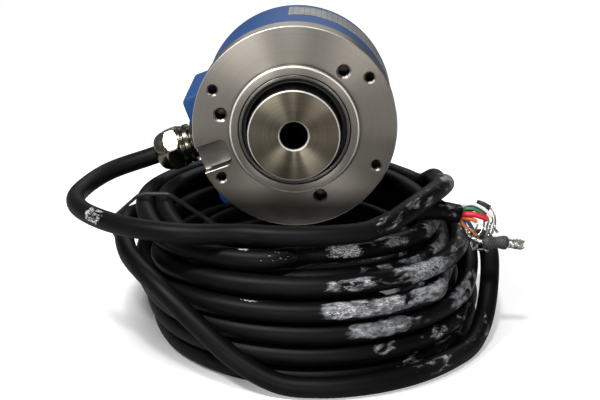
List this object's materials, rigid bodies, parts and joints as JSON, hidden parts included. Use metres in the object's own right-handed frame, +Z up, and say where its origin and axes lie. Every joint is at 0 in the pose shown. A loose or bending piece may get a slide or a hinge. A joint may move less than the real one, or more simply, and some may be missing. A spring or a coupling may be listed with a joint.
{
  "type": "rotary encoder",
  "caption": "Rotary encoder: flanged turned housing with a hollow hub and pilot collar, painted cover, side cable gland and a coiled signal cable with a stripped end.",
  "frame": {"origin": "centre of the flat floor of the shaft's blind bore, on the shaft's axis (mount bore_floor)", "axes": "-Y is the way the mounting face and the hub look, +X is to the right of a viewer who faces the hub, +Z is up; the coil lies flat at the bottom"},
  "size_m": [0.2002, 0.1861, 0.1316],
  "materials": {
    "machined_steel": "turned, satin",
    "hub_steel": "turned, satin",
    "seal_case": "pressed, semi-gloss",
    "seal_rubber": "matt",
    "bearing_steel": "ground",
    "dark_steel": "oiled black",
    "brass": "turned",
    "screw_steel": "plated",
    "disc_glass": "clear",
    "blue_paint": "satin paint",
    "label_foil": "plain satin foil",
    "black_plastic": "matt",
    "board_green": "solder mask",
    "connector_plastic": "matt",
    "nickel": "nickel plate",
    "cable_black": "satin jacket",
    "tie_black": "matt",
    "braid": "tinned copper",
    "wire_white": "satin",
    "wire_green": "satin",
    "wire_violet": "satin",
    "wire_red": "satin",
    "wire_orange": "satin",
    "wire_brown": "satin",
    "wire_blue": "satin",
    "wire_black": "satin"
  },
  "bodies": {
    "housing": {"bearing_lock_ring": "bearing_steel", "board_connector": "connector_plastic", "cable_jacket": "cable_black", "circuit_board": "board_green", "coil_tie": "tie_black", "conductor_1": "wire_white", "conductor_2": "wire_green", "conductor_3": "wire_violet", "conductor_4": "wire_red", "conductor_5": "wire_orange", "conductor_6": "wire_brown", "conductor_7": "wire_blue", "conductor_8": "wire_black", "cover": "blue_paint", "cover_post_1": "brass", "cover_post_2": "brass", "cover_post_3": "brass", "cover_screw_1": "screw_steel", "cover_screw_2": "screw_steel", "cover_screw_3": "screw_steel", "cover_seal": "seal_rubber", "flange": "machined_steel", "front_bearing_outer_ring": "bearing_steel", "gland_body": "nickel", "gland_insert": "seal_rubber", "gland_lock_nut": "nickel", "gland_nut": "nickel", "label_plate": "label_foil", "led_block": "black_plastic", "outer_spacer": "bearing_steel", "rear_bearing_outer_ring": "bearing_steel", "reticle": "disc_glass", "seal_case": "seal_case", "seal_lip": "seal_rubber", "sensor_chip": "black_plastic", "shield_braid": "braid", "shield_sleeve": "tie_black", "standoff_1": "brass", "standoff_2": "brass", "standoff_3": "brass"},
    "hub": {"shaft": "hub_steel", "front_bearing_inner_ring": "bearing_steel", "rear_bearing_inner_ring": "bearing_steel", "inner_spacer": "bearing_steel", "shaft_circlip": "dark_steel", "disc_hub": "brass", "code_disc": "disc_glass", "disc_clamp": "brass"},
    "front_cage": {"front_bearing_balls": "bearing_steel"},
    "rear_cage": {"rear_bearing_balls": "bearing_steel"}
  },
  "joints": [
    {"name": "shaft_spin", "type": "hinge", "parent": "housing", "child": "hub", "pos_m": [0, -0.034, 0], "axis": [0, -1, 0], "continuous": true},
    {"name": "front_cage_spin", "type": "hinge", "parent": "housing", "child": "front_cage", "pos_m": [0, -0.0274, 0], "axis": [0, -1, 0], "continuous": true},
    {"name": "rear_cage_spin", "type": "hinge", "parent": "housing", "child": "rear_cage", "pos_m": [0, -0.0084, 0], "axis": [0, -1, 0], "continuous": true}
  ],
  "couplings": [
    {"joint": "front_cage_spin", "follows": "shaft_spin", "ratio": 0.4339},
    {"joint": "rear_cage_spin", "follows": "shaft_spin", "ratio": 0.4339}
  ]
}
